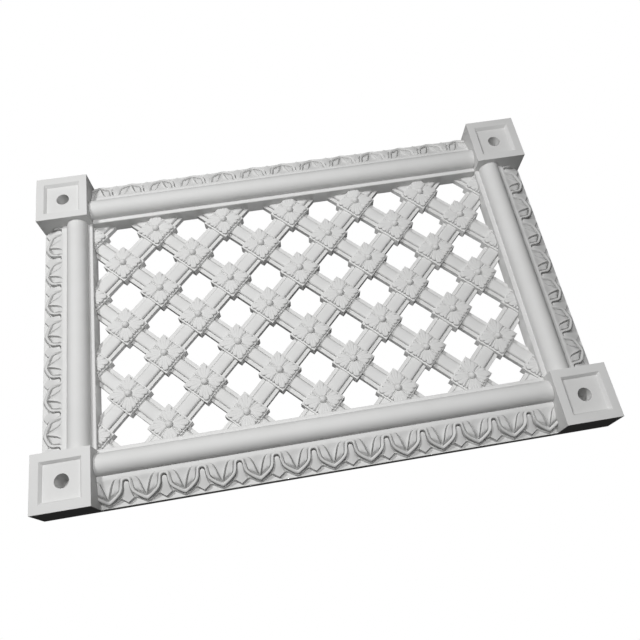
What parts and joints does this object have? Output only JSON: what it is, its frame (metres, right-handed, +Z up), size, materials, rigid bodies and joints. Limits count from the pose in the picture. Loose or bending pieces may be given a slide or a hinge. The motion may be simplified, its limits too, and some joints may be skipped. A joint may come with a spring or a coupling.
{
  "type": "ventilation grille",
  "caption": "Carved rectangular wall vent grille: a leaf-moulded frame with square corner blocks round an open diagonal lattice with leaf rosettes.",
  "frame": {"origin": "middle of the back face of the bottom moulding, in the plane of the wall", "axes": "+X along the grille's length, to the right seen from the front; +Y into the wall; +Z up; the carved front faces -Y"},
  "size_m": [0.6, 0.04, 0.4],
  "materials": {
    "painted_wood": "matt off-white paint over carved wood"
  },
  "bodies": {
    "root": {"lattice_panel": "painted_wood", "corner_block_top_left": "painted_wood", "corner_block_top_right": "painted_wood", "corner_block_bottom_left": "painted_wood", "corner_block_bottom_right": "painted_wood", "leaf_moulding_bottom": "painted_wood", "leaf_moulding_top": "painted_wood", "leaf_moulding_left": "painted_wood", "leaf_moulding_right": "painted_wood"}
  },
  "joints": []
}
